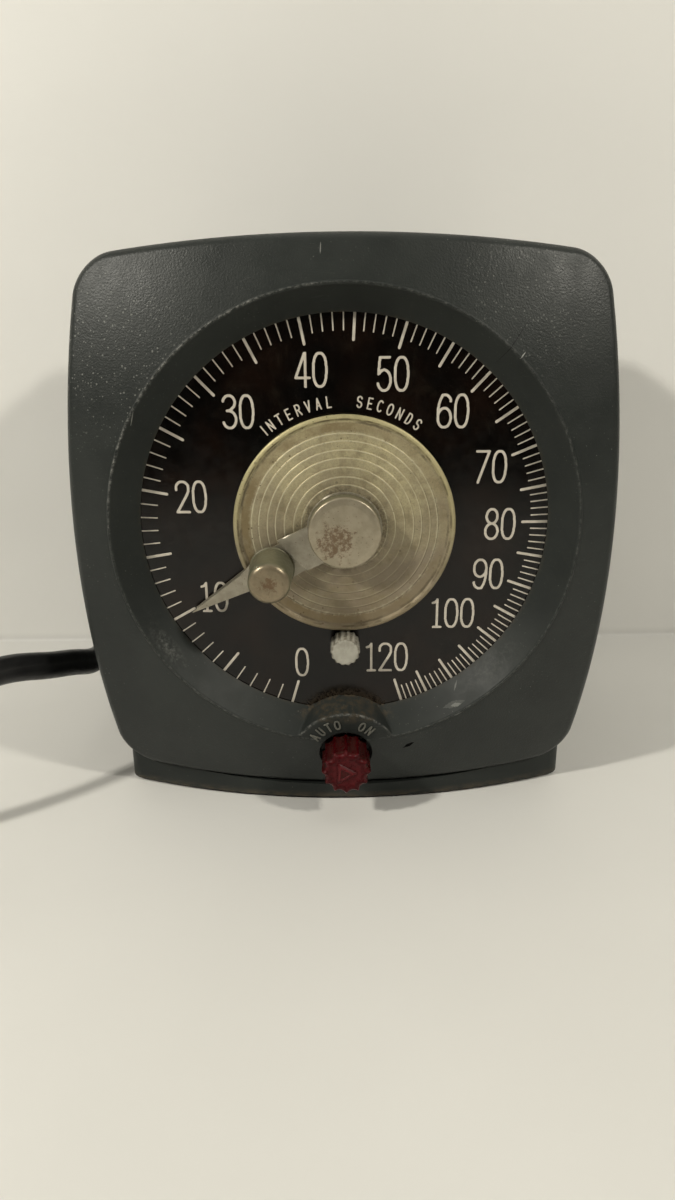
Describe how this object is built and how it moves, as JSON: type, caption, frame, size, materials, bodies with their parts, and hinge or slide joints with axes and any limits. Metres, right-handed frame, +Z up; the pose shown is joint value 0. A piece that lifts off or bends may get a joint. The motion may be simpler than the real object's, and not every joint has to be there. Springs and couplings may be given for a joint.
{
  "type": "interval timer",
  "caption": "Table-top electric interval timer: domed grey case, round recessed dial with spun centre disc, finger-set pointer, centre lock knob, red selector knob and rear mains cord.",
  "frame": {"origin": "centre of the base on the lower face of its felt pad, on the case's left-right mirror plane", "axes": "+Z up, +X to the right of a person facing the dial, -Y out of the dial towards that person"},
  "size_m": [0.2735, 0.1627, 0.176],
  "materials": {
    "grey_moulding": "dark neutral grey phenolic moulding, semi-gloss, faint orange peel",
    "dial_black": "semi-gloss black enamel with cream printed scale",
    "spun_aluminium": "spun aluminium under yellowed lacquer",
    "plated_beige": "satin plated metal with brown stains",
    "red_plastic": "deep maroon translucent plastic",
    "pale_grey_plastic": "light grey moulded plastic",
    "steel": "zinc plated steel",
    "brass": "machined brass",
    "bronze": "oil bronze",
    "copper_can": "drawn copper shell",
    "laminations": "varnished laminated iron",
    "coil_tape": "varnished cloth tape",
    "brown_phenolic": "brown phenolic moulding",
    "black_rubber": "black rubber jacket, dull",
    "felt": "dark pressed felt",
    "lead_insulation": "cloth covered lead wire"
  },
  "bodies": {
    "case": {"front_cover": "grey_moulding", "rear_housing": "grey_moulding", "base_pad": "felt", "case_screws": "steel", "dial_plate": "dial_black", "dial_retaining_ring": "steel", "dial_screws": "steel", "trim_control": "brown_phenolic", "selector_switch": "brown_phenolic", "selector_nut": "steel", "front_plate": "steel", "rear_plate": "steel", "frame_pillars": "brass", "pillar_screws": "steel", "movement_screws": "steel", "arbor_bushes": "bronze", "intermediate_arbor": "steel", "rotor_can": "copper_can", "field_core": "laminations", "field_coil": "coil_tape", "motor_posts": "brass", "motor_screws": "steel", "snap_switch": "brown_phenolic", "lever_pivot_pin": "steel", "switch_screws": "steel", "terminal_strip": "brown_phenolic", "terminal_screws": "brass", "outlet_socket": "brown_phenolic", "outlet_screws": "steel", "strain_relief": "black_rubber", "power_cord": "black_rubber", "plug_body": "black_rubber", "plug_blades": "brass", "internal_leads": "lead_insulation"},
    "elapsed_hand": {"main_arbor": "steel", "centre_disc": "spun_aluminium", "elapsed_pointer": "plated_beige", "main_gear": "brass", "switch_cam": "brown_phenolic", "friction_washer": "steel"},
    "setting_hand": {"setting_pointer": "plated_beige", "finger_knob": "plated_beige", "finger_knob_screw": "steel"},
    "hub_knob": {"hub_lock_knob": "plated_beige"},
    "intermediate": {"intermediate_gear": "brass"},
    "motor_drive": {"motor_pinion": "brass"},
    "trim": {"trim_knob": "pale_grey_plastic", "trim_shaft": "brass"},
    "selector": {"selector_knob": "red_plastic", "selector_shaft": "brass"},
    "lever": {"switch_lever": "steel"},
    "plunger": {"switch_plunger": "brass"}
  },
  "joints": [
    {"name": "elapsed_turn", "type": "hinge", "parent": "case", "child": "elapsed_hand", "pos_m": [0, -0.045, 0.094], "axis": [0, 1, 0], "range_deg": [-44.2, 282.4]},
    {"name": "setting_turn", "type": "hinge", "parent": "case", "child": "setting_hand", "pos_m": [0, -0.045, 0.094], "axis": [0, 1, 0], "range_deg": [-44.2, 282.4]},
    {"name": "hub_lock_turn", "type": "hinge", "parent": "elapsed_hand", "child": "hub_knob", "pos_m": [0, -0.045, 0.094], "axis": [0, 1, 0], "range_deg": [-270, 0]},
    {"name": "intermediate_turn", "type": "hinge", "parent": "case", "child": "intermediate", "pos_m": [-0.02291, -0.02, 0.11691], "axis": [0, 1, 0], "range_deg": [-2300, 400]},
    {"name": "motor_turn", "type": "hinge", "parent": "case", "child": "motor_drive", "pos_m": [-0.00191, -0.013, 0.11691], "axis": [0, 1, 0], "range_deg": [-2200, 13600]},
    {"name": "trim_turn", "type": "hinge", "parent": "case", "child": "trim", "pos_m": [0, -0.045, 0.0556], "axis": [0, 1, 0], "range_deg": [-150, 150]},
    {"name": "selector_turn", "type": "hinge", "parent": "case", "child": "selector", "pos_m": [0, -0.045, 0.0196], "axis": [0, 1, 0], "range_deg": [-124, 0]},
    {"name": "lever_press", "type": "hinge", "parent": "case", "child": "lever", "pos_m": [0.04, -0.0295, 0.0744], "axis": [0, -1, 0], "range_deg": [0, 3]},
    {"name": "plunger_press", "type": "slide", "parent": "case", "child": "plunger", "axis": [0, 0, -1], "range_m": [0, 0.00052]}
  ],
  "couplings": [
    {"joint": "intermediate_turn", "follows": "elapsed_turn", "ratio": -8},
    {"joint": "motor_turn", "follows": "elapsed_turn", "ratio": 48},
    {"joint": "lever_press", "follows": "plunger_press", "rad_per_m": 100}
  ]
}
